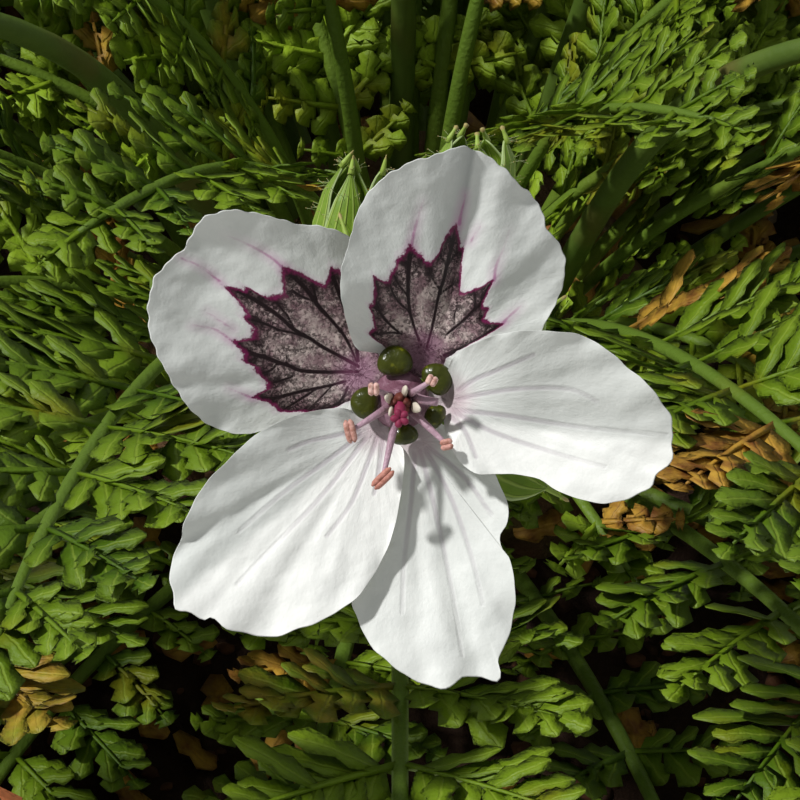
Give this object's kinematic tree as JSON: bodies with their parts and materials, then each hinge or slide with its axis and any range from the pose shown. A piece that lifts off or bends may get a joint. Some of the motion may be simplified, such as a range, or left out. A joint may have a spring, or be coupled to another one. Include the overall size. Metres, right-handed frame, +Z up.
{
  "type": "potted storksbill plant",
  "caption": "Perennial with ferny fronds round a woody crown and white blooms with dark purple blotches on thin stalks, growing in a plain round clay pot.",
  "frame": {"origin": "on the surface the pot stands on, under the middle of the pot", "axes": "+Z up; -Y towards the side that the finest bloom faces; +X to the right seen from there"},
  "size_m": [0.235, 0.235, 0.2197],
  "materials": {
    "terracotta": "matt fired clay with pale lime bloom and fine speckles",
    "potting_mix": "crumbly dark peat and bark with pale grit",
    "crown_bark": "fibrous brown bark with old leaf bases",
    "leaf": "soft matt green, paler below, with a fine down",
    "stem": "green tinged with red, covered in short glandular hairs",
    "petal": "silky white with faint veins, the upper two blotched dark purple over grey mauve",
    "nectary": "wet glossy olive green",
    "stamen": "mauve pink, with salmon anthers and a magenta stigma"
  },
  "bodies": {
    "root": {"pot": "terracotta", "potting_mix": "potting_mix", "crown": "crown_bark", "frond_outer_01": "leaf", "frond_outer_02": "leaf", "frond_outer_03": "leaf", "frond_outer_04": "leaf", "frond_outer_05": "leaf", "frond_outer_06": "leaf", "frond_outer_07": "leaf", "frond_outer_08": "leaf", "frond_outer_09": "leaf", "frond_outer_10": "leaf", "frond_outer_11": "leaf", "frond_outer_12": "leaf", "frond_middle_01": "leaf", "frond_middle_02": "leaf", "frond_middle_03": "leaf", "frond_middle_04": "leaf", "frond_middle_05": "leaf", "frond_middle_06": "leaf", "frond_middle_07": "leaf", "frond_middle_08": "leaf", "frond_inner_01": "leaf", "frond_inner_02": "leaf", "frond_inner_03": "leaf", "frond_inner_04": "leaf", "frond_inner_05": "leaf", "frond_inner_06": "leaf", "stalk_star": "stem", "petals_star": "petal", "glands_star": "nectary", "stamens_star": "stamen", "stalk_left_front": "stem", "petals_left_front": "petal", "glands_left_front": "nectary", "stamens_left_front": "stamen", "stalk_left_back": "stem", "petals_left_back": "petal", "glands_left_back": "nectary", "stamens_left_back": "stamen", "stalk_back": "stem", "petals_back": "petal", "glands_back": "nectary", "stamens_back": "stamen", "stalk_right_back": "stem", "petals_right_back": "petal", "glands_right_back": "nectary", "stamens_right_back": "stamen", "stalk_right_front": "stem", "petals_right_front": "petal", "glands_right_front": "nectary", "stamens_right_front": "stamen"}
  },
  "joints": []
}
